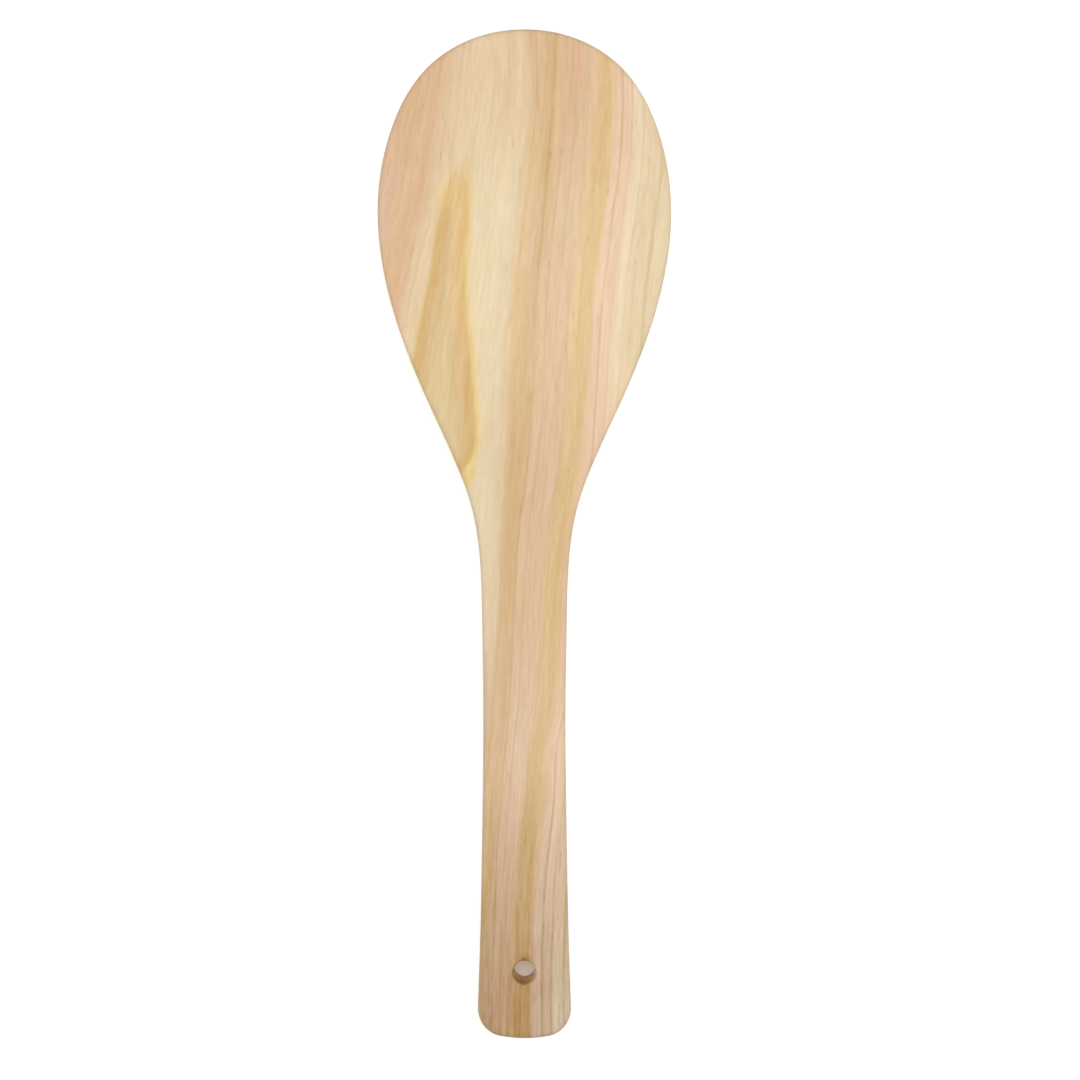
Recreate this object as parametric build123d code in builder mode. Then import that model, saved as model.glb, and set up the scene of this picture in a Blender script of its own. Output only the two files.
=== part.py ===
from build123d import *

import os

# Rice paddle for serving and turning cooked rice, cut from one softwood board.
#
# The paddle lies on its back. Its length runs along Y with the blade's tip at +Y, its width along X,
# and its front face looks along +Z. The origin is on the back face, midway along the length and width.

# Plan of the paddle, in millimetres
LENGTH = 330.0
BLADE_WIDTH = 96.6
HEEL_WIDTH = 31.0
HEEL_BOW = 2.6
HEEL_CORNER_RADIUS = 9.0

# Thickness of the board after planing
HANDLE_THICKNESS = 10.0
TIP_THICKNESS = 4.4
BACK_LIFT_AT_TIP = 1.2
BACK_LIFT_LENGTH = 62.0

# Rounded edges, and the hole that the paddle hangs from
EDGE_RADIUS = 1.8
HOLE_DIAMETER = 7.0
HOLE_TO_HEEL = 22.0
HOLE_RIM_RADIUS = 0.5

# Half of the side's run, from the tip to the heel: distance from the tip, and half of the width there
BLADE_SIDE = [(3.2, 17.65), (12.5, 32.1), (31.0, 43.3), (59.5, BLADE_WIDTH / 2), (88.0, 44.4), (118.0, 33.65)]
NECK_SIDE = [(140.0, 23.6), (156.0, 17.6), (175.0, 14.55), (196.0, 13.85)]
HANDLE_SIDE = [(222.0, 13.5), (262.0, 13.85), (300.0, 14.6)]
HEEL_FLARE = 0.03

# Places, and the spare wood that is cut away around the finished shape
TIP_Y = LENGTH / 2
HEEL_Y = -LENGTH / 2
HOLE_Y = HEEL_Y + HOLE_TO_HEEL
SPARE = 6.0

# The planed front: distance from the tip, height at the centre line, half width, and drop at that width
TIP_HEIGHT = TIP_THICKNESS + BACK_LIFT_AT_TIP
FRONT_SECTIONS = [
    (-SPARE, TIP_HEIGHT - 0.2, 60.0, 3.0),
    (60.0, 7.3, 60.0, 3.0),
    (120.0, 9.1, 48.0, 3.0),
    (170.0, HANDLE_THICKNESS, 30.0, 3.2),
    (225.0, HANDLE_THICKNESS, 26.0, 3.2),
    (280.0, HANDLE_THICKNESS, 26.0, 3.2),
    (LENGTH + SPARE, HANDLE_THICKNESS - 0.3, 26.0, 3.2),
]


# The sawn blank: the outline of the paddle, taller than the finished board
right_side = [(half_width, TIP_Y - distance) for distance, half_width in BLADE_SIDE + NECK_SIDE + HANDLE_SIDE]
left_side = [(-x, y) for x, y in reversed(right_side)]
right_heel = (HEEL_WIDTH / 2, HEEL_Y + HEEL_BOW)
left_heel = (-HEEL_WIDTH / 2, HEEL_Y + HEEL_BOW)

with BuildPart() as sawn_blank:
    with BuildSketch() as outline:
        with BuildLine():
            Spline(
                left_heel, *left_side, (0, TIP_Y), *right_side, right_heel,
                tangents=[(HEEL_FLARE, 1), (HEEL_FLARE, -1)],
            )
            ThreePointArc(right_heel, (0, HEEL_Y), left_heel)
        make_face()
        fillet(outline.vertices().sort_by(Axis.Y)[:2], HEEL_CORNER_RADIUS)
    extrude(amount=HANDLE_THICKNESS + SPARE)

# The planed front: crowned sections that thin the blade towards its tip
with BuildPart() as planed_front:
    for distance, height, half_width, drop in FRONT_SECTIONS:
        with BuildSketch(Plane(origin=(0, TIP_Y - distance, 0), x_dir=(1, 0, 0), z_dir=(0, -1, 0))):
            with BuildLine():
                edge_height = height - drop
                crown = ThreePointArc((-half_width, edge_height), (0, height), (half_width, edge_height))
                Polyline(crown @ 1, (half_width, -SPARE), (-half_width, -SPARE), crown @ 0)
            make_face()
    loft()

# The paddle: sawn, planed, eased at the back of the tip, rounded over and drilled
with BuildPart() as paddle:
    add(sawn_blank.part)
    add(planed_front.part, mode=Mode.INTERSECT)

    # The back curves up a little towards the tip, so that the blade slides under the rice
    with BuildSketch(Plane.YZ):
        with BuildLine():
            lift_start = TIP_Y - BACK_LIFT_LENGTH
            lift_middle = (TIP_Y - BACK_LIFT_LENGTH / 2, BACK_LIFT_AT_TIP / 4)
            lift = ThreePointArc((lift_start, 0), lift_middle, (TIP_Y, BACK_LIFT_AT_TIP))
            Polyline(
                lift @ 1, (TIP_Y + SPARE, BACK_LIFT_AT_TIP), (TIP_Y + SPARE, -SPARE),
                (lift_start, -SPARE), lift @ 0,
            )
        make_face()
    extrude(amount=BLADE_WIDTH, both=True, mode=Mode.SUBTRACT)

    # Front and back rims run all the way around; the upright corners and the lift's start stay as they are
    rims = paddle.edges().filter_by(Axis.Z, reverse=True).filter_by(Axis.X, reverse=True)
    fillet(rims, EDGE_RADIUS)

    # The hanging hole goes right through, and its rims are softened
    with Locations((0, HOLE_Y, HANDLE_THICKNESS)):
        Hole(HOLE_DIAMETER / 2)
    hole_rims = paddle.edges(Select.LAST).filter_by(GeomType.LINE, reverse=True)
    fillet(hole_rims, HOLE_RIM_RADIUS)

paddle.part.label = "paddle"

os.makedirs("parts", exist_ok=True)
export_step(paddle.part, "parts/paddle.step")
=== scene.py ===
"""Rice paddle of bare softwood: the finished surface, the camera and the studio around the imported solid.

The paddle lies on its back. +Y runs to the blade's tip, +X to the right, and +Z out of the front face.
Sizes are in millimetres unless a name says otherwise, and meshes are in metres.
"""

import logging
import math
from dataclasses import dataclass
from enum import Enum
from functools import partial
from typing import Any, Callable, Mapping, Sequence

import bmesh
import bpy
import numpy as np
from bmesh.types import BMesh, BMVert
from bpy.types import Material, Mesh, MeshVertex, Node, NodeSocket, NodeTree, Object
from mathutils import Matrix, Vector, noise


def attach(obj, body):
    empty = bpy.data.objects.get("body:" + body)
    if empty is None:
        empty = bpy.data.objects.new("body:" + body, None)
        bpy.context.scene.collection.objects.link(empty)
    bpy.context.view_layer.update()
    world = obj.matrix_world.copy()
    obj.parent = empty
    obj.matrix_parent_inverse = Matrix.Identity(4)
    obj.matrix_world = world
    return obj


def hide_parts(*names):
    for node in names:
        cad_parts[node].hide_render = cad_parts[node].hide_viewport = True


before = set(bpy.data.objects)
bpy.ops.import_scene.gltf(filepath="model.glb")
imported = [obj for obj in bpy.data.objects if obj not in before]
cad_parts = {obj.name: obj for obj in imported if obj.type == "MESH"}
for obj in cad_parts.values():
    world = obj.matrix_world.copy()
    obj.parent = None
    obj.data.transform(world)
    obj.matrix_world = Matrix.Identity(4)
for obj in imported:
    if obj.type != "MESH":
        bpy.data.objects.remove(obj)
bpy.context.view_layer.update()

MM = 0.001
Points = tuple[tuple[float, float], ...]

# Each unevenness takes its own slice of the noise, so that none repeats another
PLANING_SLICE = 3.7
DRILLING_SLICE = 5.0
SANDING_SLICE = 9.1

log = logging.getLogger("rice_paddle")


def linear_colour(code: str, alpha: float = 1.0) -> tuple[float, float, float, float]:
    """Turn an sRGB hex value into the linear colour that a shader takes.

    Args:
        code: Six hex digits after a #.
        alpha: Fourth value of the colour.

    Returns:
        Linear red, green and blue, and the alpha.
    """
    shares = [int(code[i:i + 2], 16) / 255 for i in (1, 3, 5)]
    red, green, blue = (s / 12.92 if s <= 0.04045 else ((s + 0.055) / 1.055) ** 2.4 for s in shares)
    return red, green, blue, alpha


def add_object(name: str, data: bpy.types.ID | BMesh, place: Sequence[float] = (0, 0, 0)) -> Object:
    """Add an object to the scene.

    Args:
        name: Name of the object.
        data: Its camera or lamp, or its modelled mesh, which is finished and freed.
        place: Its position in millimetres.

    Returns:
        The object.
    """
    if isinstance(data, BMesh):
        modelled, data = data, bpy.data.meshes.new(name)
        modelled.to_mesh(data)
        modelled.free()
    thing = bpy.data.objects.new(name, data)
    thing.location = Vector(place) * MM
    bpy.context.scene.collection.objects.link(thing)
    return thing


class NodeBoard:
    """A node tree that is being filled."""

    def __init__(self, tree: NodeTree) -> None:
        """Start with an empty tree."""
        tree.nodes.clear()
        self.tree = tree

    def add(
        self,
        kind: str,
        inputs: Mapping[int | str, Any] | None = None,
        curve: Sequence[tuple[float, float]] | None = None,
        stops: Sequence[tuple[float, tuple]] | None = None,
        **settings: Any,
    ) -> Node:
        """Add one node with its settings, its input values and its links.

        Args:
            kind: Blender's name for the node type, without the word ShaderNode.
            inputs: Input name or number, with a value for its socket, a socket to link from, or a node to
                link from by its first output in use.
            curve: Points of a float curve, both numbers from 0 to 1.
            stops: Places from 0 to 1 on a colour ramp, with their linear colours.
            settings: Other attributes of the node.

        Returns:
            The new node.
        """
        node = self.tree.nodes.new("ShaderNode" + kind)
        for name, value in settings.items():
            setattr(node, name, value)
        for name, value in (inputs or {}).items():
            if isinstance(value, Node):
                value = next(output for output in value.outputs if output.enabled)
            if isinstance(value, NodeSocket):
                self.tree.links.new(value, node.inputs[name])
            else:
                node.inputs[name].default_value = value
        if curve:
            points = node.mapping.curves[0].points
            while len(points) < len(curve):
                points.new(0.5, 0.5)
            for point, place in zip(points, sorted(curve)):
                point.location = place
            node.mapping.update()
        if stops:
            elements = node.color_ramp.elements
            while len(elements) < len(stops):
                elements.new(1.0)
            for element, (place, colour) in zip(elements, stops):
                element.position = place
                element.color = colour
        return node


@dataclass(frozen=True)
class Slope:
    """A level that goes from first to last while what it follows goes from start to end."""

    start: float
    end: float
    first: float = 0.0
    last: float = 1.0

    def inputs(self, followed: Any) -> dict[str, Any]:
        """Inputs of a Map Range node that follows a socket or a node."""
        levels = {"To Min": self.first, "To Max": self.last}
        return {"Value": followed, "From Min": self.start, "From Max": self.end, **levels}


class SmoothLine:
    """A smooth line through a few points, with its direction set or free at both ends."""

    STEPS = 40

    def __init__(
        self, points: Sequence[tuple], first: tuple | None = None, last: tuple | None = None,
    ) -> None:
        """Fit the line.

        Args:
            points: Points on the line, in order.
            first: Direction of travel at the first point, or None to leave it free.
            last: Direction of travel at the last point, or None to leave it free.
        """
        knots = np.array(points, dtype=float)
        gaps = np.linalg.norm(np.diff(knots, axis=0), axis=1)
        rises = np.diff(knots, axis=0) / gaps[:, None]
        count = len(knots)
        matrix = np.zeros((count, count))
        wanted = np.zeros((count, 2))
        for i in range(1, count - 1):
            matrix[i, i - 1:i + 2] = gaps[i], 2 * (gaps[i - 1] + gaps[i]), gaps[i - 1]
            wanted[i] = 3 * (gaps[i] * rises[i - 1] + gaps[i - 1] * rises[i])
        for end, beside, direction, rise in ((0, 1, first, rises[0]), (-1, -2, last, rises[-1])):
            matrix[end, end] = 1.0 if direction else 2.0
            matrix[end, beside] = 0.0 if direction else 1.0
            wanted[end] = np.array(direction) / np.linalg.norm(direction) if direction else 3 * rise
        slopes = np.linalg.solve(matrix, wanted)
        t = np.linspace(0.0, 1.0, self.STEPS, endpoint=False)[:, None]
        runs = []
        for i, gap in enumerate(gaps):
            start = (2 * t**3 - 3 * t**2 + 1) * knots[i] + (t**3 - 2 * t**2 + t) * gap * slopes[i]
            end = (3 * t**2 - 2 * t**3) * knots[i + 1] + (t**3 - t**2) * gap * slopes[i + 1]
            runs.append(start + end)
        self.samples = np.vstack(runs + [knots[-1:]])

    def height_at(self, distance: float) -> float:
        """Second coordinate of the line where its first coordinate is the distance."""
        return float(np.interp(distance, self.samples[:, 0], self.samples[:, 1]))


@dataclass(frozen=True)
class PaddlePlan:
    """Outline of the paddle, as half widths at distances from the blade's tip."""

    length: float = 330.0
    stations: Points = (
        (3.2, 17.65), (12.5, 32.1), (31.0, 43.3), (59.5, 48.3), (88.0, 44.4), (118.0, 33.65),
        (140.0, 23.6), (156.0, 17.6), (175.0, 14.55), (196.0, 13.85), (222.0, 13.5), (262.0, 13.85),
        (300.0, 14.6),
    )
    heel_half_width: float = 15.5
    heel_bow: float = 2.6
    heel_flare: float = 0.03
    corner_radius: float = 9.0
    corner_steps: int = 24
    bow_steps: int = 16
    sanding_wobble: float = 0.1
    sanding_stroke: float = 25.0

    def right_half(self) -> np.ndarray:
        """Walk down the right side of the outline.

        Returns:
            Closely spaced points from the tip's middle to the heel's middle.
        """
        tip, heel = self.length / 2, -self.length / 2
        knots = [(0.0, tip)] + [(half, tip - distance) for distance, half in self.stations]
        knots.append((self.heel_half_width, heel + self.heel_bow))
        side = SmoothLine(knots, first=(1, 0), last=(self.heel_flare, -1)).samples
        bow_radius = (self.heel_half_width**2 + self.heel_bow**2) / (2 * self.heel_bow)
        bow_centre = np.array([0.0, heel + bow_radius])
        inner = side - np.array([self.corner_radius, 0.0])
        off_bow = np.abs(np.linalg.norm(inner - bow_centre, axis=1) - (bow_radius - self.corner_radius))
        low = side[:, 1] < heel + 2 * self.corner_radius
        meeting = int(np.argmin(np.where(low, off_bow, np.inf)))
        corner_centre = inner[meeting]
        away = corner_centre - bow_centre
        last_angle = math.atan2(away[1], away[0])
        corner = [corner_centre + self.corner_radius * np.array([math.cos(a), math.sin(a)])
                  for a in np.linspace(0.0, last_angle, self.corner_steps)]
        bow = [bow_centre + bow_radius * np.array([math.cos(a), math.sin(a)])
               for a in np.linspace(last_angle, -math.pi / 2, self.bow_steps)[1:]]
        return np.vstack([side[:meeting], corner, bow])


@dataclass(frozen=True)
class PlanedFaces:
    """The broad faces: height and crown of the front at distances from the tip, and lift of the back."""

    heights: Points = (
        (-6, 5.4), (60, 7.3), (120, 9.1), (170, 10.0), (225, 10.0), (280, 10.0), (336, 9.7),
    )
    bends: Points = (
        (-6, 0.00083), (60, 0.00083), (120, 0.0013), (170, 0.0036), (225, 0.0047), (336, 0.0047),
    )
    back_lift: float = 1.2
    back_lift_length: float = 62.0
    hand_planing: float = 0.05
    planing_stroke: float = 28.0
    mean_hollow: float = 0.6


class Face(Enum):
    """The two broad faces of the paddle."""

    FRONT = "front"
    BACK = "back"


class Mark(Enum):
    """Marks over the bare wood in the order they are laid, with their shades; each has an attribute. The
    edge shade, the lightened bore and the painted shade are painted light and shade.
    """

    END_GRAIN = "#CF9F6E"
    # Painted shade on the rounded edges, darker the more they turn away from the front face
    EDGE_SHADE = "#A79A86"
    # Paler than the wood: painted light that stands for light reaching down the hole's wall
    LIGHTENED_BORE = "#F3E0C4"
    SINGED = "#D1A02C"
    # Painted shade on the hole's rim and on the left of its wall
    SOOT = "#6E5438"
    SCORCH = "#8A5C22"

    @property
    def attribute(self) -> str:
        """Name of the mesh's attribute that holds the mark's level."""
        return self.name.lower()


@dataclass(frozen=True)
class Smudge:
    """A smudge beside the hole: even out to its reach from the rim, and fading beyond it."""

    level: float
    across: float
    width: float
    reach: float = 0.0
    fade: float = 1.0
    power: int = 2

    def level_at(self, across: float, out: float = 0.0) -> float:
        """Level at a distance across from the hole's centre and at a distance out from its rim."""
        past = max(out - self.reach, 0.0) / self.fade
        return self.level * math.exp(-((across - self.across) / self.width) ** 2 - past**self.power)


@dataclass(frozen=True)
class DrillMarks:
    """Marks in the hole and around it: a wall paler than the wood as painted light, singed wood, painted
    shade on the rim and the left of the wall, and scorch spots.

    A pair of levels is the one in the middle and how much more the left has. The scorch has a third, for
    how much more the bottom has.
    """

    # The wall's paler shade is painted light down the hole
    lightened_wall: float = 0.9
    singed: tuple[float, float] = (0.85, 0.25)
    singed_depth: float = 5.7
    # Painted shade on the left of the wall, fading with depth
    soot: tuple[float, float] = (0.0, 0.5)
    hole_shade_depth: float = 4.0
    scorch: tuple[float, float, float] = (0.25, 0.05, 0.45)
    scorch_depth: float = 1.8
    # Painted shade on the rim, more on the left
    rim_shade: tuple[float, float] = (0.42, 0.22)
    rim_shade_inset: float = 0.2
    rim_fade: float = 0.15
    edge_above: Smudge = Smudge(0.5, -0.3, 0.9)
    edge_below: Smudge = Smudge(0.35, -0.8, 1.8)
    smudges_above: tuple[Smudge, ...] = (
        Smudge(0.5, 0.2, 2.2, fade=1.6), Smudge(1.0, -0.3, 0.9, reach=0.3, fade=0.4),
    )
    smudges_below: tuple[Smudge, ...] = (
        Smudge(0.25, -0.6, 2.0, fade=0.8, power=1), Smudge(1.0, -0.4, 1.1, fade=0.4),
    )

    def scorch_at(self, away: Vector) -> float:
        """Level of the scorch where the hole's wall starts.

        Args:
            away: Place measured from the hole's centre.

        Returns:
            Level from 0 to 1.
        """
        level, to_left, to_bottom = self.scorch
        side = max(level - (to_left * away.x + to_bottom * away.y) / away.length, 0.0)
        edge = self.edge_above if away.y > 0 else self.edge_below
        return min(side + edge.level_at(away.x), 1.0)

    def on_wall(self, away: Vector, depth: float) -> dict[Mark, float]:
        """Levels of the marks on the hole's wall.

        Args:
            away: Place measured from the hole's centre.
            depth: Distance below the front face.

        Returns:
            Levels from 0 to 1.
        """
        # The wall gets painted light, painted shade on its left, singed wood and scorch
        levels = {Mark.LIGHTENED_BORE: self.lightened_wall}
        for mark, (level, to_left), reach in (
            (Mark.SINGED, self.singed, self.singed_depth), (Mark.SOOT, self.soot, self.hole_shade_depth),
        ):
            side = level - to_left * away.x / away.length
            levels[mark] = min(max(side, 0.0), 1.0) * math.exp(-((depth / reach) ** 2))
        levels[Mark.SCORCH] = self.scorch_at(away) * math.exp(-((depth / self.scorch_depth) ** 2))
        return levels

    def on_front(self, away: Vector, beyond: float) -> dict[Mark, float]:
        """Levels of the marks on the rim and around it.

        Args:
            away: Place measured from the hole's centre.
            beyond: Distance from the rim's outer edge, less than 0 on the rim.

        Returns:
            Levels from 0 to 1.
        """
        out = max(beyond, 0.0)
        smudges = self.smudges_above if away.y > 0 else self.smudges_below
        scorch = [smudge.level_at(away.x, out) for smudge in smudges]
        scorch.append(self.scorch_at(away) * math.exp(-out / self.rim_fade))
        # Painted shade on the rim, more on the left
        level, to_left = self.rim_shade
        soot = level - to_left * away.x / away.length
        soot *= math.exp(-max(beyond + self.rim_shade_inset, 0.0) / self.rim_fade)
        return {Mark.SOOT: soot, Mark.SCORCH: min(max(scorch), 1.0)}


@dataclass(frozen=True)
class GrainLine:
    """One growth ring that shows as a thin line: its place on the ramp, its width and its depth."""

    place: float
    width: float
    depth: float


class Tone(Enum):
    """Tones of one board of pale cypress, as they look in plain light, with painted shade in the tones of
    the handle's end.
    """

    BLOSSOM = "#E2BFA1"
    ROSY = "#E1BB93"
    BUFF = "#E5C8A3"
    CREAM = "#EACFA7"
    MILK = "#EFDAB3"
    LINEN = "#EAD5B1"
    SAND = "#E3C49B"
    CLAY = "#E1BD92"
    TAN = "#DCB88D"
    ROSE = "#DFB592"
    FAWN = "#E9C8A4"
    DUSTY = "#DDBC98"
    PINK = "#E3C4A6"
    WHEAT = "#E7C894"
    OCHRE = "#E5C391"
    HONEY = "#DEB985"
    OLIVE = "#D9BA87"
    UMBER = "#D6B384"
    DRAB = "#D9B991"
    BLUSH = "#EBC9A9"
    PEACH = "#EFCFAE"
    SHELL = "#F2DAB7"
    STRAW = "#EAD4AE"
    OAT = "#E6D0AC"
    HUSK = "#E1C9A4"
    BRASS = "#DCBD8F"
    BISQUE = "#E6C4A6"
    # Tones of the handle's end: darker and browner, partly painted shade, partly handling
    DIMMED_ROSE = "#D3B392"
    DIMMED_OCHRE = "#C8A774"
    DIMMED_PEACH = "#DCBFA2"
    SHADED_BUFF = "#C1A177"
    SHADED_TAN = "#B4926F"
    SHADED_ROSE = "#BD9975"
    SHADED_OCHRE = "#B79060"
    SHADED_PEACH = "#C9AC8F"
    SHADED_STRAW = "#D0BA9C"


@dataclass(frozen=True)
class GrowthLine:
    """A line of the growth along the board: its place on the tone ramps, and points along and across."""

    place: float
    points: Points


@dataclass(frozen=True)
class CrossSection:
    """Tones across the straightened board at a place along it, and the run that they come in over."""

    along: float
    fade: float
    tones: tuple[tuple[float, Tone], ...]


class Streak(Enum):
    """Kinds of streak that run with the growth."""

    BROAD = "broad"
    FINE = "fine"
    DASH = "dash"
    FLECK = "fleck"


@dataclass(frozen=True)
class StreakSize:
    """Size and detail of one kind of streak, its strength, and the level that changes nothing."""

    width: float
    run: float
    detail: float
    strength: float
    neutral: float = 0.5


@dataclass(frozen=True)
class BareSoftwood:
    """Pale cypress, planed and sanded by hand and left bare: matt, with soft bands and thin ring lines.

    One flat-sawn board: broad rosy and cream bands with a flame figure on the left, thin upright rings on
    the right. Four lines of the growth run along the board, and the tones are placed between them. The end
    of the handle is darker and browner, partly as painted shade and partly from handling.
    """

    name: str = "sanded_bare_softwood"
    half_length: float = 165.0
    guide_span: float = 75.0

    # Places across the board, as (distance along the length from the middle, distance across)
    rosy_edge: GrowthLine = GrowthLine(-30.0, (
        (-165, -63.3), (-22, -60), (30.5, -48.6), (66.5, -40.5), (89.3, -35.6), (102.4, -32.3),
        (115.5, -30), (128.6, -28.4), (141.6, -25.8), (165, -23),
    ))
    cream_edge: GrowthLine = GrowthLine(0.0, (
        (-165, -18), (-104, -15.4), (-71, -13.1), (-38, -10.9), (-6, -9.2), (27, -8.5), (59, -6.5),
        (92, -3.7), (124, -0.4), (141, 1.8), (165, 1.2),
    ))
    dark_streak: GrowthLine = GrowthLine(8.0, (
        (-165, -11), (-136, -9.8), (-104, -9), (-87, -7.8), (-55, -4.9), (-22, -3.3), (2, -1.7),
        (19, 0.6), (43, 2.7), (76, 4), (108, 6.6), (141, 9.3), (165, 10.6),
    ))
    ochre_line: GrowthLine = GrowthLine(25.0, (
        (-165, 2.3), (-120, 2.8), (-104, 4.1), (-87, 6), (-71, 6.9), (-55, 9.9), (-38, 10.9), (-14, 12.3),
        (2, 14.8), (19, 17.5), (43, 19.5), (76, 21.8), (92, 23.8), (108, 25.8), (124, 27.7), (141, 28.5),
        (165, 28.2),
    ))
    ramp_reach: float = 50.0

    sections: tuple[CrossSection, ...] = (
        CrossSection(165.0, 0.0, (
            (-32, Tone.ROSY), (-29.5, Tone.SAND), (-25, Tone.BUFF), (-21, Tone.CREAM), (-11, Tone.CREAM),
            (-8, Tone.SAND), (-5, Tone.CREAM), (-3, Tone.FAWN), (-1, Tone.SAND), (1, Tone.CLAY),
            (5, Tone.CLAY), (7.5, Tone.TAN), (9.5, Tone.CLAY), (15, Tone.ROSE), (17.5, Tone.SAND),
            (20, Tone.FAWN), (21.5, Tone.OCHRE), (23.3, Tone.HONEY), (25.3, Tone.OCHRE),
            (26.8, Tone.BLUSH), (30.5, Tone.BLUSH), (33, Tone.SHELL), (36, Tone.STRAW),
            (38.5, Tone.STRAW), (42, Tone.SAND),
        )),
        CrossSection(100.0, 55.0, (
            (-44, Tone.BLOSSOM), (-39.5, Tone.ROSY), (-33, Tone.ROSY), (-30.5, Tone.BUFF),
            (-28, Tone.CREAM), (-15, Tone.LINEN), (-9, Tone.MILK), (-5, Tone.MILK),
            (-1, Tone.LINEN), (1, Tone.CREAM), (3, Tone.OCHRE), (5, Tone.SAND), (7, Tone.CLAY),
            (9, Tone.SAND), (12, Tone.FAWN), (15, Tone.BUFF), (18, Tone.FAWN), (21, Tone.WHEAT),
            (23, Tone.OCHRE), (25, Tone.WHEAT), (26.6, Tone.PEACH), (31, Tone.PEACH), (34, Tone.SHELL),
            (38, Tone.STRAW),
        )),
        CrossSection(12.0, 64.0, (
            (-2.5, Tone.OAT), (1, Tone.HUSK), (3.3, Tone.UMBER), (6.5, Tone.UMBER), (9, Tone.DUSTY),
            (18, Tone.DUSTY), (19.5, Tone.OLIVE), (23.2, Tone.OLIVE), (25, Tone.CLAY),
            (27, Tone.BISQUE), (31, Tone.BISQUE), (33.5, Tone.CREAM),
        )),
        CrossSection(-65.0, 45.0, (
            (-3, Tone.HUSK), (0.3, Tone.DUSTY), (3, Tone.DRAB), (8, Tone.DRAB), (10.5, Tone.PINK),
            (17, Tone.PINK), (19.5, Tone.BRASS), (23.5, Tone.BRASS), (25.2, Tone.SAND),
            (27, Tone.BISQUE), (32, Tone.BLUSH), (50, Tone.STRAW),
        )),
        # The handle's end: darker and browner tones, partly painted shade, partly handling
        CrossSection(-105.0, 35.0, (
            (2, Tone.DRAB), (5, Tone.DIMMED_OCHRE), (8, Tone.DIMMED_ROSE), (15.5, Tone.DIMMED_ROSE),
            (18.2, Tone.DIMMED_OCHRE), (23.2, Tone.DIMMED_OCHRE), (25, Tone.DRAB), (27, Tone.DIMMED_PEACH),
        )),
        CrossSection(-155.0, 60.0, (
            (3, Tone.SHADED_BUFF), (6.5, Tone.SHADED_TAN), (10, Tone.SHADED_ROSE), (15.5, Tone.SHADED_ROSE),
            (18, Tone.SHADED_OCHRE), (24, Tone.SHADED_OCHRE), (25.6, Tone.SHADED_PEACH),
            (31, Tone.SHADED_PEACH), (33.5, Tone.SHADED_STRAW),
        )),
    )

    # Thin ring lines, stronger where the broad streaks are darker
    rings: tuple[GrainLine, ...] = (
        GrainLine(2.2, 0.7, 0.04), GrainLine(8.0, 0.7, 0.1), GrainLine(11.4, 0.6, 0.05),
        GrainLine(14.9, 0.6, 0.04), GrainLine(18.3, 0.6, 0.04), GrainLine(28.7, 0.6, 0.16),
        GrainLine(31.8, 0.6, 0.08), GrainLine(35.9, 0.6, 0.09), GrainLine(38.5, 0.5, 0.05),
        GrainLine(42.5, 0.9, 0.1),
    )
    ring_strength: Slope = Slope(0.35, 0.65, 1.25, 0.5)

    # The growth's centre lies under the left of the blade: rings lie flat there and stand up on the right
    pith_across: float = -24.0
    pith_width: float = 12.0
    ring_lean: float = 13.0
    sway: float = 0.6
    sway_size: tuple[float, float, float] = (20.0, 1 / 0.018, 12.5)

    # Flame figure: its middle and half width along the blade, its tones at distances from its outline
    # with how much each covers, and where the honey limb and the fading come in
    flame_middle: Points = (
        (-165, -75), (0, -46), (14, -40), (20, -36), (24, -32.6), (28, -30.6), (36, -29), (51, -27.2),
        (76, -25.8), (99, -23.6), (111, -22), (128, -18.6), (165, -16),
    )
    flame_half_width: Points = (
        (-165, 20), (0, 17.5), (14, 16), (20, 15.4), (24, 15), (28, 14.1), (36, 12.5), (51, 9.7),
        (67, 7.6), (84, 5.2), (99, 4.7), (111, 3.2), (119, 1.8), (128, 0.2), (165, -2),
    )
    flame_reach: Slope = Slope(-12.0, 4.0)
    dark_limb: tuple[tuple[float, str, float], ...] = (
        (-12, "#DFC893", 0.8), (-8, "#E1C696", 0.85), (-5.4, "#DCBF8D", 0.95), (-3.8, "#DEBE8D", 1.0),
        (-2, "#DAB57C", 1.0), (-0.3, "#DAB678", 1.0), (0.5, "#DDBB82", 0.85), (1.3, "#E4C791", 0.4),
        (2.4, "#EAD2A2", 0.0),
    )
    honey_limb: tuple[tuple[float, str, float], ...] = (
        (-12, "#DFC893", 0.8), (-8, "#E2C697", 0.85), (-4.8, "#E5C596", 0.95), (-2.8, "#E8C289", 1.0),
        (-0.4, "#E5C185", 1.0), (0.4, "#E8C788", 1.0), (1.3, "#ECCF93", 0.9), (2.4, "#EED69F", 0.35),
        (4, "#F0DCAE", 0.0),
    )
    right_limb: Slope = Slope(-1.0, 1.0)
    honey_outside: Slope = Slope(-0.3, 0.7)
    honey_right: Slope = Slope(45.0, 85.0)
    honey_top: Slope = Slope(101.0, 109.0)
    flame_fade: Slope = Slope(125.0, 110.0)
    golden_patch: tuple[float, float] = (-18.3, 20.5)
    golden_spread: tuple[float, float] = (3.0, 8.5)
    golden_edge: Slope = Slope(1.0, 0.5)
    golden_shade: str = "#E6C986"

    # Streaks that run with the growth. They show more at the end of the handle, and where they
    # darken the wood they deepen its colour too
    streaks: tuple[tuple[Streak, StreakSize], ...] = (
        (Streak.BROAD, StreakSize(4.5, 80.0, 3.0, 0.15)), (Streak.FINE, StreakSize(1.3, 22.0, 3.0, 0.18)),
        (Streak.DASH, StreakSize(0.9, 6.0, 2.0, 0.15)),
        (Streak.FLECK, StreakSize(1.2, 9.0, 1.0, -0.1, neutral=0.0)),
    )
    streak_roughness: float = 0.55
    fleck_edge: Slope = Slope(0.68, 0.8)
    wear: Slope = Slope(-60.0, -140.0, 1.0, 2.0)
    deepening: float = 1.2

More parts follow.
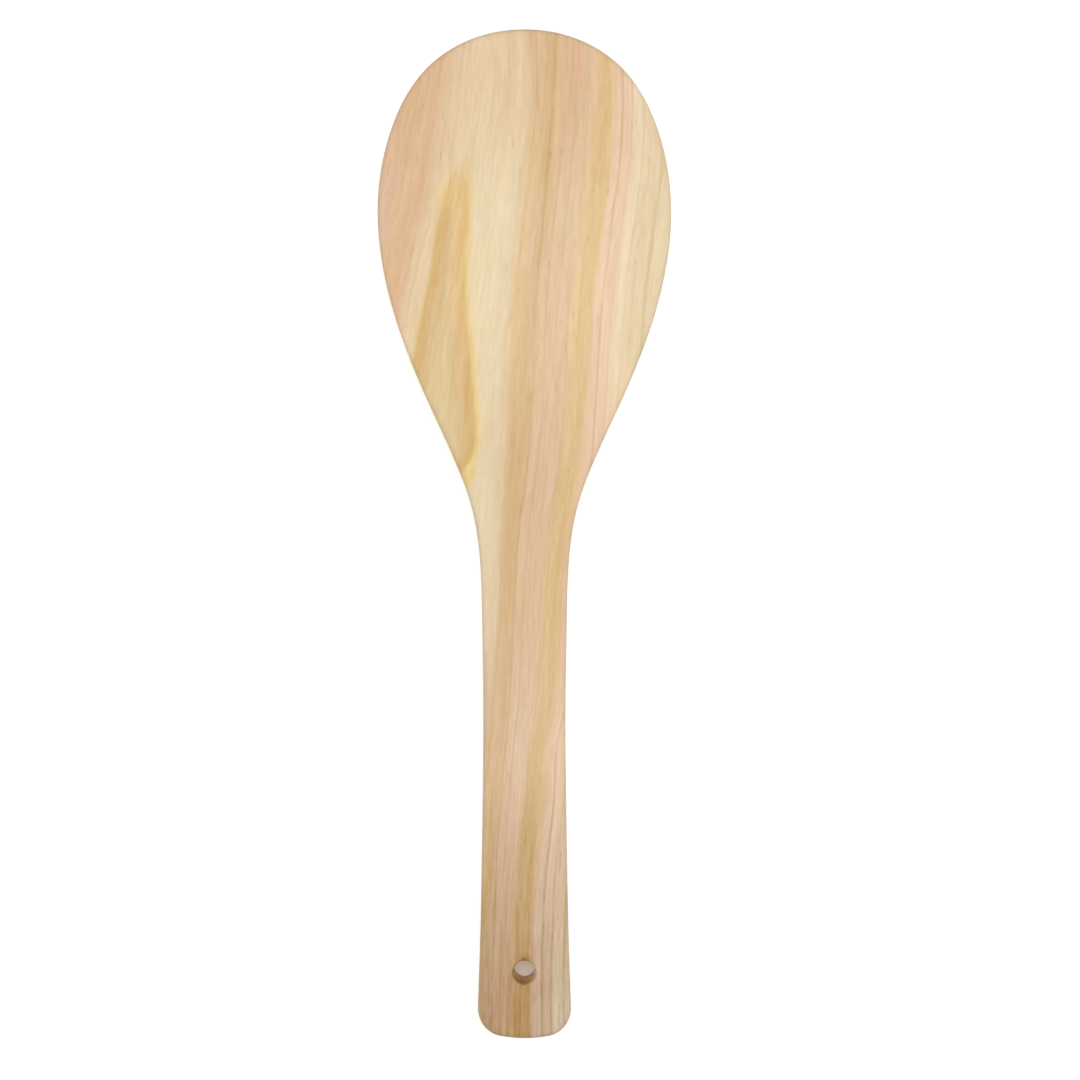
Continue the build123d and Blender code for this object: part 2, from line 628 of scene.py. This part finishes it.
    # Surface: the scratches of sanding, which are drawn as coarse as they need to show, and the sheen
    scratch_size: tuple[float, float, float] = (1 / 3, 25 / 3, 1 / 3)
    scratch_relief: float = 0.5
    fleck_relief: float = -0.6
    relief_height: float = 0.12
    relief_strength: float = 0.25
    roughness: Slope = Slope(0.3, 0.7, 0.72, 0.6)
    ior: float = 1.5
    specular: float = 0.3

    def material(self) -> Material:
        """Make the wood's material.

        Returns:
            A node material that reads object coordinates and the piece's own attributes.
        """
        material = bpy.data.materials.new(self.name)
        material.use_nodes = True
        WoodShader(material.node_tree, self).dress()
        return material


class WoodShader(NodeBoard):
    """Nodes of the bare softwood, from places on the board to its finished surface.

    Places and distances are in millimetres, and a node stands for the value that it gives.
    """

    def __init__(self, tree: NodeTree, wood: BareSoftwood) -> None:
        """Find each place in the growth, and the streaks there.

        Args:
            tree: The material's node tree.
            wood: Sizes and shades of the wood.
        """
        super().__init__(tree)
        self.wood = wood
        where = self.add("TexCoord").outputs["Object"]
        self.place = self.add("VectorMath", {0: where, "Scale": 1 / MM}, operation="SCALE")
        self.parts = self.add("SeparateXYZ", {0: self.place}).outputs
        share = {0: self.parts["Y"], 1: 0.5 / wood.half_length, 2: 0.5}
        self.along = self.add("Math", share, operation="MULTIPLY_ADD")
        self.across = self.ring_place()
        self.grain = self.grain_place()
        self.streaks = self.growth_streaks()

    def dress(self) -> None:
        """Lay the colours over each other and finish the surface."""
        colour = self.flame(self.golden_patch(self.bands()))
        self.surface(self.marked(self.mottled(colour)))

    def pattern(self, place: Node, size: Sequence[float], **settings: float) -> Node:
        """Make a noise from 0 to 1 with a real size.

        Args:
            place: Places on the board.
            size: Width, length and depth of one cell of the noise.
            settings: Detail and Roughness of the noise.

        Returns:
            Node with the noise.
        """
        cells = tuple(1 / step for step in size)
        scaled = self.add("VectorMath", {0: place, 1: cells}, operation="MULTIPLY")
        return self.add("TexNoise", {"Vector": scaled, "Scale": 1.0, **settings})

    def guide(self, line: Sequence[tuple[float, float]]) -> Node:
        """Give a line of the growth as a distance across, at each place along the board.

        Args:
            line: Points of the line, as distances along and across.

        Returns:
            Node with the distance across.
        """
        length, span = 2 * self.wood.half_length, 2 * self.wood.guide_span
        points = [(y / length + 0.5, x / span + 0.5) for y, x in line]
        curve = self.add("FloatCurve", {"Value": self.along}, curve=points)
        return self.add("Math", {0: curve, 1: span, 2: -span / 2}, operation="MULTIPLY_ADD")

    def ring_place(self) -> Node:
        """Follow each growth ring from its place in the board's depth to where it meets the front face.

        Returns:
            Node with the distance across at which the ring meets the front face.
        """
        wood = self.wood
        sway = self.pattern(self.place, wood.sway_size, Detail=1.0)
        middled = self.add("Math", {0: self.parts["X"], 1: wood.sway}, operation="SUBTRACT")
        swayed = self.add("Math", {0: sway, 1: 2 * wood.sway, 2: middled}, operation="MULTIPLY_ADD")
        offset = self.add("Math", {0: swayed, 1: wood.pith_across}, operation="SUBTRACT")
        spread = self.add("Math", {0: offset, 1: offset, 2: wood.pith_width**2}, operation="MULTIPLY_ADD")
        lean = self.add("Math", {0: offset, 1: spread}, operation="DIVIDE")
        depth = self.add("Attribute", attribute_name="depth").outputs["Fac"]
        pull = self.add("Math", {0: depth, 1: -wood.ring_lean}, operation="MULTIPLY")
        return self.add("Math", {0: lean, 1: pull, 2: swayed}, operation="MULTIPLY_ADD")

    def grain_place(self) -> Node:
        """Straighten the board, so that each line of the growth keeps one place along the whole length.

        Returns:
            Node with the straightened distance across.
        """
        wood = self.wood
        lines = (wood.rosy_edge, wood.cream_edge, wood.dark_streak, wood.ochre_line)
        edges = [self.guide(line.points) for line in lines]
        # Each stretch between two lines adds its own part, counted from the line at place 0
        total: Any = 0.0
        for low, high, start, end in zip(edges, edges[1:], lines, lines[1:]):
            part = self.add("MapRange", {
                "Value": self.across, "From Min": low, "From Max": high,
                "To Min": min(start.place, 0.0), "To Max": end.place - max(start.place, 0.0),
            })
            total = self.add("Math", {0: total, 1: part}, operation="ADD")
        for edge, limit in ((edges[0], "MINIMUM"), (edges[-1], "MAXIMUM")):
            beyond = self.add("Math", {0: self.across, 1: edge}, operation="SUBTRACT")
            beyond = self.add("Math", {0: beyond, 1: 0.0}, operation=limit)
            total = self.add("Math", {0: total, 1: beyond}, operation="ADD")
        return total

    def growth_streaks(self) -> dict[Streak, Node]:
        """Make streaks of several sizes that run with the growth.

        Returns:
            Nodes with levels from 0 to 1.
        """
        wood = self.wood
        place = self.add("CombineXYZ", {0: self.grain, 1: self.parts["Y"], 2: self.parts["Z"]})
        streaks = {}
        for streak, size in wood.streaks:
            settings = {"Detail": size.detail, "Roughness": wood.streak_roughness}
            streaks[streak] = self.pattern(place, (size.width, size.run, size.width), **settings)
        flecks = wood.fleck_edge.inputs(streaks[Streak.FLECK])
        streaks[Streak.FLECK] = self.add("MapRange", flecks, interpolation_type="SMOOTHSTEP")
        return streaks

    def bands(self) -> Node:
        """Colour the broad bands of sapwood and heartwood.

        Returns:
            Node with the colour.
        """
        reach = self.wood.ramp_reach
        fraction = self.add("Math", {0: self.grain, 1: 0.5 / reach, 2: 0.5}, operation="MULTIPLY_ADD")
        colour = None
        for section in self.wood.sections:
            stops = [(x / (2 * reach) + 0.5, linear_colour(tone.value)) for x, tone in section.tones]
            ramp = self.add("ValToRGB", {"Fac": fraction}, stops=stops)
            if colour is None:
                colour = ramp
                continue
            run = Slope(section.along + section.fade, section.along).inputs(self.parts["Y"])
            share = self.add("MapRange", run, interpolation_type="SMOOTHSTEP")
            colour = self.add("Mix", {"Factor": share, 6: colour, 7: ramp}, data_type="RGBA")
        return colour

    def golden_patch(self, colour: Node) -> Node:
        """Lay a soft golden patch where the flame runs out at the edge of the neck.

        Args:
            colour: Colour under the patch.

        Returns:
            Node with the colour.
        """
        wood = self.wood
        (x, y), (wide, tall) = wood.golden_patch, wood.golden_spread
        scale = (1 / wide, 1 / tall, 0.0)
        scaled = self.add("VectorMath", {0: self.place, 1: scale}, operation="MULTIPLY")
        away = self.add("VectorMath", {0: scaled, 1: (x / wide, y / tall, 0.0)}, operation="DISTANCE")
        share = self.add("MapRange", wood.golden_edge.inputs(away), interpolation_type="SMOOTHSTEP")
        shade = linear_colour(wood.golden_shade)
        return self.add("Mix", {"Factor": share, 6: colour, 7: shade}, data_type="RGBA")

    def flame(self, colour: Node) -> Node:
        """Lay the flame figure over the bands: its left limb is dark, its right limb and top are honey.

        Args:
            colour: Colour under the flame.

        Returns:
            Node with the colour.
        """
        wood = self.wood
        right, top, fade = (
            self.add("MapRange", slope.inputs(self.parts["Y"]), interpolation_type="SMOOTHSTEP")
            for slope in (wood.honey_right, wood.honey_top, wood.flame_fade)
        )
        off = self.add("Math", {0: self.across, 1: self.guide(wood.flame_middle)}, operation="SUBTRACT")
        honey = self.add("MapRange", wood.right_limb.inputs(off))
        off = self.add("Math", {0: off}, operation="ABSOLUTE")
        off = self.add("Math", {0: off, 1: self.guide(wood.flame_half_width)}, operation="SUBTRACT")
        outside = self.add("MapRange", wood.honey_outside.inputs(off))
        right = self.add("Math", {0: right, 1: outside}, operation="MAXIMUM")
        honey = self.add("Math", {0: honey, 1: right}, operation="MULTIPLY")
        honey = self.add("Math", {0: honey, 1: top}, operation="MAXIMUM")
        fraction = self.add("MapRange", wood.flame_reach.inputs(off))
        low, width = wood.flame_reach.start, wood.flame_reach.end - wood.flame_reach.start
        ramps = []
        for limb in (wood.dark_limb, wood.honey_limb):
            stops = [((place - low) / width, linear_colour(code, cover)) for place, code, cover in limb]
            ramps.append(self.add("ValToRGB", {"Fac": fraction}, stops=stops).outputs)
        shades, covers = ([ramp[name] for ramp in ramps] for name in ("Color", "Alpha"))
        shade = self.add("Mix", {"Factor": honey, 6: shades[0], 7: shades[1]}, data_type="RGBA")
        cover = self.add("Mix", {"Factor": honey, 2: covers[0], 3: covers[1]}, data_type="FLOAT")
        cover = self.add("Math", {0: cover, 1: fade}, operation="MULTIPLY")
        return self.add("Mix", {"Factor": cover, 6: colour, 7: shade}, data_type="RGBA")

    def ring_lines(self) -> Node:
        """Draw the thin lines where single growth rings stand upright in the board.

        Returns:
            Node with the depth of the lines.
        """
        wood = self.wood
        fraction = self.add("Math", {0: self.grain, 1: 1 / wood.ramp_reach}, operation="MULTIPLY")
        stops = []
        for ring in wood.rings:
            for shift, depth in ((-ring.width, 0.0), (0.0, ring.depth), (ring.width, 0.0)):
                stops.append(((ring.place + shift) / wood.ramp_reach, (depth, depth, depth, 1.0)))
        ramp = self.add("ValToRGB", {"Fac": fraction}, stops=stops)
        strength = self.add("MapRange", wood.ring_strength.inputs(self.streaks[Streak.BROAD]))
        return self.add("Math", {0: ramp, 1: strength}, operation="MULTIPLY")

    def mottled(self, colour: Node) -> Node:
        """Make the wood lighter and darker with its streaks and ring lines, and deeper where it darkens.

        Args:
            colour: Colour under the streaks.

        Returns:
            Node with the colour.
        """
        wood = self.wood
        total: Any = -sum(size.strength * size.neutral for streak, size in wood.streaks)
        for streak, size in wood.streaks:
            added = {0: self.streaks[streak], 1: size.strength, 2: total}
            total = self.add("Math", added, operation="MULTIPLY_ADD")
        total = self.add("Math", {0: total, 1: self.ring_lines()}, operation="SUBTRACT")
        wear = self.add("MapRange", wood.wear.inputs(self.parts["Y"]))
        light = self.add("Math", {0: total, 1: wear, 2: 1.0}, operation="MULTIPLY_ADD")
        deep = {0: light, 1: -wood.deepening, 2: 1 + wood.deepening}
        saturation = self.add("Math", deep, operation="MULTIPLY_ADD")
        return self.add("HueSaturation", {"Color": colour, "Value": light, "Saturation": saturation})

    def marked(self, colour: Node) -> Node:
        """Lay the marks on: end grain, painted shade on the rounded edges, and the drilled hole with its
        singe and scorch, painted light on its wall and painted shade on its rim.

        Args:
            colour: Colour of the faces.

        Returns:
            Node with the colour.
        """
        for mark in Mark:
            level = self.add("Attribute", attribute_name=mark.attribute).outputs["Fac"]
            shade = linear_colour(mark.value)
            colour = self.add("Mix", {"Factor": level, 6: colour, 7: shade}, data_type="RGBA")
        return colour

    def surface(self, colour: Node) -> None:
        """Finish the shader: colour, a matt sheen that varies with the fibres, and sanded relief.

        Args:
            colour: Colour of the wood.
        """
        wood = self.wood
        relief = self.streaks[Streak.FINE]
        for marks, height in (
            (self.pattern(self.place, wood.scratch_size, Detail=2.0), wood.scratch_relief),
            (self.streaks[Streak.FLECK], wood.fleck_relief),
        ):
            relief = self.add("Math", {0: marks, 1: height, 2: relief}, operation="MULTIPLY_ADD")
        bump = self.add("Bump", {
            "Height": relief, "Strength": wood.relief_strength, "Distance": wood.relief_height * MM,
        })
        rough = self.add("MapRange", wood.roughness.inputs(self.streaks[Streak.FINE]))
        shader = self.add("BsdfPrincipled", {
            "Base Color": colour, "Roughness": rough, "Normal": bump, "IOR": wood.ior,
            "Specular IOR Level": wood.specular,
        })
        self.add("OutputMaterial", {"Surface": shader})


def extrude_ring(
    mesh: BMesh, ring: Sequence[BMVert], place: Callable[[int], Vector],
) -> list[BMVert]:
    """Extrude a closed ring of edges by one step.

    Args:
        mesh: Mesh that holds the ring.
        ring: Its vertices, in order.
        place: Gives the new vertex's position for each number in the ring.

    Returns:
        The new ring, in the same order.
    """
    edges = [mesh.edges.get((vert, ring[i - 1])) for i, vert in enumerate(ring)]
    made = bmesh.ops.extrude_edge_only(mesh, edges=edges)["geom"]
    fresh = {item for item in made if isinstance(item, BMVert)}
    outer = []
    for i, vert in enumerate(ring):
        twin = next(edge.other_vert(vert) for edge in vert.link_edges if edge.other_vert(vert) in fresh)
        twin.co = place(i)
        outer.append(twin)
    return outer


@dataclass
class Paddle:
    """The whole paddle, one piece of wood: blade, neck, handle and heel."""

    plan: PaddlePlan = PaddlePlan()
    planing: PlanedFaces = PlanedFaces()
    finish: BareSoftwood = BareSoftwood()
    drill_marks: DrillMarks = DrillMarks()
    front_rim: float = 1.7
    back_rim: float = 1.8
    rim_steps: int = 5

    # Hole: its rings blend from the grid to a circle, turn round the rim and start the wall
    hole_radius: float = 3.5
    hole_to_heel: float = 22.0
    hole_rim: float = 0.5
    hole_wobble: float = 0.012
    hole_lumps: float = 2.0
    hole_blends: tuple[float, ...] = (0.25, 0.45, 0.62, 0.76, 0.87, 0.95, 1.0)
    hole_rim_steps: int = 3
    wall_start: float = 2.2

    # Grid of a broad face: its rows are closer together around the hole, its corners lie on the outline,
    # and the bends of its ends settle into it
    columns: int = 36
    upper_rows: int = 136
    lower_rows: int = 46
    lower_stretch: float = 46.0
    tip_corner: float = 34.0
    heel_corner: float = 15.0
    tip_settling: int = 6
    heel_settling: int = 8
    hole_columns: int = 9
    hole_rows: int = 6
    outline_feel: float = 0.4

    # Levels of the marks away from the hole, and the distances that tell its wall and rim from the faces
    end_grain_level: float = 0.4
    # Painted shade on the rounded edges, by how far they turn away from the front face
    edge_shade_level: float = 0.45
    wall_band: float = 0.1
    near_hole: float = 1.0
    near_front: float = 1.0

    def __post_init__(self) -> None:
        """Measure the outline once, and place the hole."""
        self.half = self.plan.right_half()
        steps = np.linalg.norm(np.diff(self.half, axis=0), axis=1)
        self.reach = np.concatenate([[0.0], np.cumsum(steps)])
        self.heights = SmoothLine(self.planing.heights)
        self.bends = SmoothLine(self.planing.bends)
        self.rows = self.upper_rows + self.lower_rows
        self.hole_centre = Vector((0.0, self.hole_to_heel - self.plan.length / 2))

    def outline_point(self, run: float) -> Vector:
        """Point of the outline at a signed run from the tip, right if positive and left if negative."""
        x, y = (float(np.interp(abs(run), self.reach, self.half[:, k])) for k in (0, 1))
        return Vector((math.copysign(x, run), y))

    def outline_normal(self, run: float) -> Vector:
        """Outward direction of the outline at a signed run from the tip.

        Args:
            run: Signed run.

        Returns:
            A direction on the plan, straight along the length at the tip's and the heel's middle.
        """
        size, end = abs(run), float(self.reach[-1])
        before = max(size - self.outline_feel, 0.0)
        after = min(size + self.outline_feel, end)
        step = self.outline_point(after) - self.outline_point(before)
        normal = Vector((-step.y, step.x)).normalized()
        if size < self.outline_feel or size > end - self.outline_feel:
            normal.x = 0.0
        return Vector((math.copysign(1.0, run) * normal.x, normal.y))

    def ring_runs(self) -> list[float]:
        """Signed runs of the border's vertices: tip from left to right, right side, heel, left side."""
        end = float(self.reach[-1])
        heel = end - self.heel_corner
        turn = heel - self.lower_stretch
        shares = [2 * i / self.columns - 1 for i in range(self.columns)]
        tip = [self.tip_corner * share for share in shares]
        side = list(np.linspace(self.tip_corner, turn, self.upper_rows, endpoint=False))
        side += list(np.linspace(turn, heel, self.lower_rows + 1))
        bottom = [(end - self.heel_corner * abs(share)) * (-1 if share > 0 else 1) for share in shares]
        return tip + side[:-1] + bottom + [-run for run in reversed(side[1:])]

    def surface_height(self, face: Face, x: float, y: float) -> float:
        """Height of a broad face above the ground at a place on the plan.

        Args:
            face: Front or back.
            x: Distance across.
            y: Distance along.

        Returns:
            Height in millimetres, before the rim is rounded.
        """
        from_tip = self.plan.length / 2 - y
        planing = self.planing
        if face is Face.BACK:
            return planing.back_lift * max(0.0, 1 - from_tip / planing.back_lift_length) ** 2
        stroke = planing.planing_stroke
        wave = noise.noise(Vector((x / stroke, y / stroke, PLANING_SLICE)))
        level = self.heights.height_at(from_tip) - self.bends.height_at(from_tip) * x**2
        return level - planing.hand_planing * (planing.mean_hollow + wave)

    def edge_place(self, face: Face, run: float, turn: float) -> Vector:
        """Point on the rounded edge.

        Args:
            face: Front or back.
            run: Signed run along the outline from the tip.
            turn: Angle around the rounding, from 0 where the face ends to a quarter turn at the side.

        Returns:
            Position in metres.
        """
        point, normal = self.outline_point(run), self.outline_normal(run)
        stroke = self.plan.sanding_stroke
        wobble = 0.5 + 0.5 * noise.noise(Vector((point.x / stroke, point.y / stroke, SANDING_SLICE)))
        radius = self.back_rim if face is Face.BACK else self.front_rim
        flat = point - normal * (radius * (1 - math.sin(turn)) + self.plan.sanding_wobble * wobble)
        drop = radius * (1 - math.cos(turn))
        height = self.surface_height(face, flat.x, flat.y)
        height += drop if face is Face.BACK else -drop
        return Vector((flat.x, flat.y, height)) * MM

    def broad_face(self, mesh: BMesh, face: Face) -> tuple[list, list]:
        """Make one broad face with its rounded edge and its half of the hole.

        Args:
            mesh: Mesh to add to.
            face: Front or back.

        Returns:
            The last ring of vertices at the side, and the last one inside the hole.
        """
        columns, rows = self.columns, self.rows
        grid = bmesh.ops.create_grid(mesh, x_segments=columns, y_segments=rows, size=1.0)["verts"]
        table = {}
        for vert in grid:
            column = round((vert.co.x + 1) / 2 * columns)
            row = round((1 - vert.co.y) / 2 * rows)
            table[column, row] = vert
        border = [(i, 0) for i in range(columns)] + [(columns, j) for j in range(rows)]
        border += [(columns - i, rows) for i in range(columns)] + [(0, rows - j) for j in range(rows)]
        runs = self.ring_runs()
        places = {at: self.edge_place(face, run, 0.0) for at, run in zip(border, runs)}
        self.fill_between(face, table, places)
        ring = [table[at] for at in border]
        for step in range(1, self.rim_steps + 1):
            turn = math.pi / 2 * step / self.rim_steps
            ring = extrude_ring(mesh, ring, lambda i, turn=turn: self.edge_place(face, runs[i], turn))
        return ring, self.open_hole(mesh, face, table)

    def fill_between(self, face: Face, table: Mapping, places: Mapping) -> None:
        """Spread the grid's vertices evenly inside its border.

        Args:
            face: Front or back.
            table: Vertex at each column and row.
            places: Position of each border vertex.
        """
        last = self.columns
        for (column, row), vert in table.items():
            if (column, row) in places:
                vert.co = places[column, row]
                continue
            across, down = column / last, row / self.rows
            flat = places[0, row].lerp(places[last, row], across)
            weights = ((1 - down) ** self.tip_settling, down**self.heel_settling)
            for edge, weight in zip((0, self.rows), weights):
                bulge = places[column, edge] - places[0, edge].lerp(places[last, edge], across)
                flat += bulge * weight
            vert.co = flat
            vert.co.z = self.surface_height(face, flat.x / MM, flat.y / MM) * MM

    def open_hole(self, mesh: BMesh, face: Face, table: Mapping) -> list:
        """Cut the hole out of one broad face, soften its rim and start its wall.

        Args:
            mesh: Mesh to cut.
            face: Front or back.
            table: Vertex at each column and row.

        Returns:
            The last ring of vertices on the hole's wall.
        """
        centre, middle = self.hole_centre, self.columns // 2
        row = min(range(self.rows), key=lambda j: abs(table[middle, j].co.y / MM - centre.y))
        left, right = middle - self.hole_columns, middle + self.hole_columns
        top, bottom = row - self.hole_rows, row + self.hole_rows
        loop = [(i, top) for i in range(left, right)] + [(right, j) for j in range(top, bottom)]
        loop += [(i, bottom) for i in range(right, left, -1)]
        loop += [(left, j) for j in range(bottom, top, -1)]
        inside = {table[i, j] for i in range(left, right + 1) for j in range(top, bottom + 1)}
        doomed = [patch for patch in mesh.faces if all(vert in inside for vert in patch.verts)]
        ring = [table[at] for at in loop]
        bmesh.ops.delete(mesh, geom=doomed, context="FACES")
        start = [vert.co.xy / MM for vert in ring]
        # The loop starts at the upper left corner of the opening and goes round to the right
        first = math.pi / 2 + math.tau * self.hole_columns / len(ring)
        angles = [first - math.tau * i / len(ring) for i in range(len(ring))]

        def wall_place(i: int, radius: float, sink: float, blend: float) -> Vector:
            """Place ring vertex i at a radius and depth, blended from its place on the grid."""
            around = Vector((math.cos(angles[i]), math.sin(angles[i])))
            lump = noise.noise(Vector((*(around * self.hole_lumps), DRILLING_SLICE)))
            circle = centre + around * radius * (1 + self.hole_wobble * lump)
            flat = start[i].lerp(circle, blend)
            height = self.surface_height(face, flat.x, flat.y)
            return Vector((flat.x, flat.y, height + (sink if face is Face.BACK else -sink))) * MM

        steps = [(self.hole_radius + self.hole_rim, 0.0, blend) for blend in self.hole_blends]
        for step in range(1, self.hole_rim_steps + 1):
            turn = math.pi / 2 * step / self.hole_rim_steps
            radius = self.hole_radius + self.hole_rim * (1 - math.sin(turn))
            steps.append((radius, self.hole_rim * (1 - math.cos(turn)), 1.0))
        steps.append((self.hole_radius, self.wall_start, 1.0))
        for radius, sink, blend in steps:
            ring = extrude_ring(mesh, ring, partial(wall_place, radius=radius, sink=sink, blend=blend))
        return ring

    def marks_at(self, vert: MeshVertex, away: Vector, depth: float) -> dict[Mark, float]:
        """Levels of the marks at one vertex.

        Args:
            vert: The vertex.
            away: Its place measured from the hole's centre.
            depth: Its distance below the front face.

        Returns:
            Levels from 0 to 1. A mark that is left out has none.
        """
        off_wall = away.length - self.hole_radius
        if off_wall < self.wall_band:
            return self.drill_marks.on_wall(away, depth)
        levels = {}
        if off_wall > self.near_hole:
            levels[Mark.END_GRAIN] = self.end_grain_level * abs(vert.normal.y) ** 2
            # Painted shade: the edges darken as they turn away from the front face
            levels[Mark.EDGE_SHADE] = self.edge_shade_level * (1 - abs(vert.normal.z))
        if depth < self.near_front:
            levels.update(self.drill_marks.on_front(away, off_wall - self.hole_rim))
        return levels

    def shade_attributes(self, data: Mesh) -> None:
        """Write the marks and each place's depth in the board into the mesh, for the material.

        Args:
            data: Finished mesh.
        """
        for name in [mark.attribute for mark in Mark] + ["depth"]:
            data.attributes.new(name, "FLOAT", "POINT")
        marks = {mark: data.attributes[mark.attribute].data for mark in Mark}
        depths = data.attributes["depth"].data
        for i, vert in enumerate(data.vertices):
            x, y, z = vert.co / MM
            depth = self.surface_height(Face.FRONT, x, y) - z
            depths[i].value = depth
            for mark, level in self.marks_at(vert, Vector((x, y)) - self.hole_centre, depth).items():
                marks[mark][i].value = level

    def build(self) -> Object:
        """Build the paddle's mesh and dress it.

        Returns:
            The finished piece.
        """
        mesh = bmesh.new()
        rings = [self.broad_face(mesh, face) for face in Face]
        for pair in zip(*rings):
            edges = [mesh.edges.get((vert, ring[i - 1])) for ring in pair for i, vert in enumerate(ring)]
            bmesh.ops.bridge_loops(mesh, edges=edges)
        bmesh.ops.recalc_face_normals(mesh, faces=mesh.faces)
        for patch in mesh.faces:
            patch.smooth = True
        piece = add_object("paddle_wood", mesh)
        self.shade_attributes(piece.data)
        piece.data.materials.append(self.finish.material())
        smooth = piece.modifiers.new("softened", "SUBSURF")
        smooth.levels = smooth.render_levels = 1
        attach(piece, "root")
        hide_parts("paddle")
        return piece


@dataclass(frozen=True)
class Softbox:
    """One square soft lamp that faces the middle of the paddle."""

    name: str
    place: tuple[float, float, float]
    side: float
    watts: float

    def build(self) -> Object:
        """Hang the lamp.

        Returns:
            The lamp.
        """
        data = bpy.data.lights.new(self.name, "AREA")
        data.shape = "SQUARE"
        data.size = self.side * MM
        data.energy = self.watts
        lamp = add_object(self.name, data, self.place)
        lamp.rotation_euler = Vector(self.place).to_track_quat("Z", "Y").to_euler()
        return lamp


@dataclass(frozen=True)
class Studio:
    """Camera, floor and soft lights, placed as for the photograph."""

    frame_width: float = 353.8
    frame_middle: tuple[float, float] = (5.1, -2.62)
    camera_distance: float = 600.0
    silhouette_height: float = 5.0
    sensor: float = 36.0
    clip_start: float = 10.0

    # Floor: matt, and seen as white around the paddle; where it shows through the hole its glow is a
    # painted shadow, browner at the edge as painted light from the hole's wall
    floor_half: float = 500.0
    floor_drop: float = 0.3
    floor_shade: str = "#F4F4F4"
    open_glow: str = "#ADADAD"
    painted_hole_shadow: tuple[tuple[float, str], ...] = ((0.8, "#9A8F87"), (1.8, "#8A8782"), (3.7, "#8C7A6E"))
    shadow_middle: tuple[float, float] = (-0.2, -145.6)
    shadow_reach: float = 6.0

    # Lights: one softbox on each side and one beyond the tip, so that the light is even and reaches into
    # the hole, and a plain pale surround that fills the shadows
    surround: Slope = Slope(0.0, 1.0, 0.41, 1.0)
    softboxes: tuple[Softbox, ...] = (
        Softbox("right_softbox", (520.0, -40.0, 520.0), 400.0, 2.15),
        Softbox("left_softbox", (-480.0, -40.0, 520.0), 400.0, 1.7),
        Softbox("tip_softbox", (0.0, 850.0, 1200.0), 500.0, 2.4),
    )

    def camera(self) -> Object:
        """Look straight down at the front face from the photograph's distance.

        Returns:
            The camera.
        """
        data = bpy.data.cameras.new("camera")
        data.sensor_width = self.sensor
        data.lens = self.sensor * self.camera_distance / self.frame_width
        data.clip_start = self.clip_start * MM
        height = self.silhouette_height + self.camera_distance
        camera = add_object("camera", data, (*self.frame_middle, height))
        bpy.context.scene.camera = camera
        return camera

    def floor(self) -> Object:
        """Lay a pale floor that keeps the paddle's shadow and shows white around it, with a painted shadow
        where it shows through the hole.

        Returns:
            The floor.
        """
        mesh = bmesh.new()
        bmesh.ops.create_grid(mesh, x_segments=1, y_segments=1, size=self.floor_half * MM)
        floor = add_object("floor", mesh, (0.0, 0.0, -self.floor_drop))
        floor.data.materials.append(self.floor_material())
        return floor

    def floor_material(self) -> Material:
        """Make the floor's material.

        Returns:
            A matt material with a glow that only rays that show the background see; the glow is darker and
            browner under the hole, as painted shadow and painted warm light from the hole's wall.
        """
        material = bpy.data.materials.new("pale_floor")
        material.use_nodes = True
        board = NodeBoard(material.node_tree)
        where = board.add("TexCoord").outputs["Object"]
        # The glow dims around the middle of the hole's view: painted shadow, browner at its edge as
        # painted light from the wall
        middle = Vector((*self.shadow_middle, 0.0)) * MM
        away = board.add("VectorMath", {0: where, 1: middle}, operation="DISTANCE")
        share = board.add("MapRange", Slope(0.0, self.shadow_reach * MM).inputs(away))
        stops = [(place / self.shadow_reach, linear_colour(code)) for place, code in self.painted_hole_shadow]
        stops.append((1.0, linear_colour(self.open_glow)))
        glow = board.add("ValToRGB", {"Fac": share}, stops=stops)
        lift = board.add("Emission", {"Color": glow, "Strength": self.seen_directly(board)})
        matt = board.add("BsdfDiffuse", {"Color": linear_colour(self.floor_shade)})
        both = board.add("AddShader", {0: matt, 1: lift})
        board.add("OutputMaterial", {"Surface": both})
        return material

    def seen_directly(self, board: NodeBoard) -> Node:
        """Tell rays that show the background from rays that light the paddle.

        Args:
            board: Node tree to add to.

        Returns:
            Node that gives 1 for camera, glossy and transmission rays.
        """
        path = board.add("LightPath").outputs
        total = path["Is Camera Ray"]
        for name in ("Is Glossy Ray", "Is Transmission Ray"):
            total = board.add("Math", {0: total, 1: path[name]}, operation="MAXIMUM")
        return total

    def world(self) -> None:
        """Fill the shadows with a plain pale surround that looks white."""
        world = bpy.data.worlds.new("pale_surround")
        bpy.context.scene.world = world
        world.use_nodes = True
        board = NodeBoard(world.node_tree)
        strength = board.add("MapRange", self.surround.inputs(self.seen_directly(board)))
        light = board.add("Background", {"Color": linear_colour("#FFFFFF"), "Strength": strength})
        board.add("OutputWorld", {"Surface": light})

    def build(self) -> None:
        """Set up the camera, the floor and the lights."""
        bpy.context.scene.view_settings.view_transform = "Standard"
        self.camera()
        self.floor()
        self.world()
        for softbox in self.softboxes:
            softbox.build()


def main() -> None:
    """Build the paddle and the studio around it, and report each piece."""
    logging.basicConfig(level=logging.INFO, format="%(name)s: %(message)s")
    piece = Paddle().build()
    log.info("%s: %d faces before smoothing", piece.name, len(piece.data.polygons))
    Studio().build()
    log.info("studio: camera, floor and lamps")
    bpy.context.view_layer.update()


if __name__ == "__main__":
    main()
